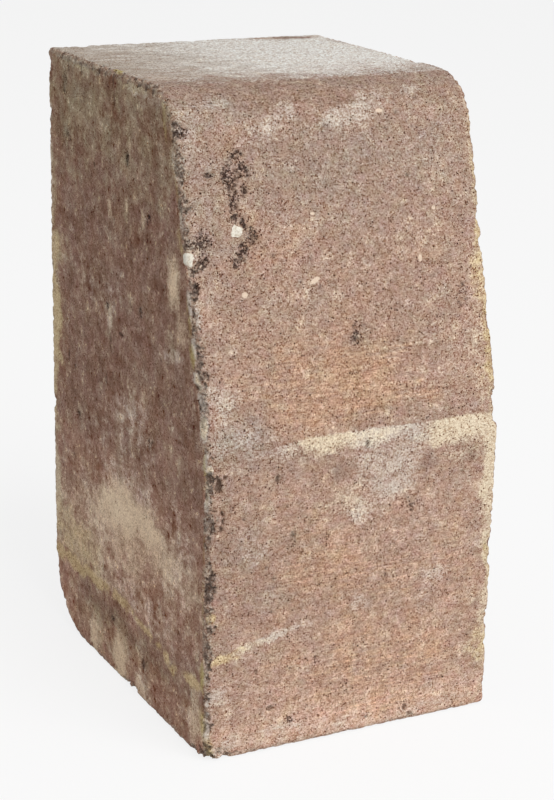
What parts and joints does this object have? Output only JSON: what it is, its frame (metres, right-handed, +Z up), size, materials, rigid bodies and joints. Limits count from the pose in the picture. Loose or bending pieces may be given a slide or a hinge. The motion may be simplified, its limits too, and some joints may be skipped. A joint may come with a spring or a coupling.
{
  "type": "concrete block kerb",
  "caption": "Short upright concrete block kerb with a half-battered face, a rounded nose, a bullnosed heel and tumbled edges.",
  "frame": {"origin": "middle of the block on its bed", "axes": "+X along the kerb line, -Y out of the channel face towards the road, +Z up out of the bed"},
  "size_m": [0.1, 0.125, 0.2],
  "materials": {
    "tumbled_concrete": "rough pressed concrete, red-brown and buff, sandy face with lime bloom"
  },
  "bodies": {
    "root": {"kerb_block": "tumbled_concrete"}
  },
  "joints": []
}
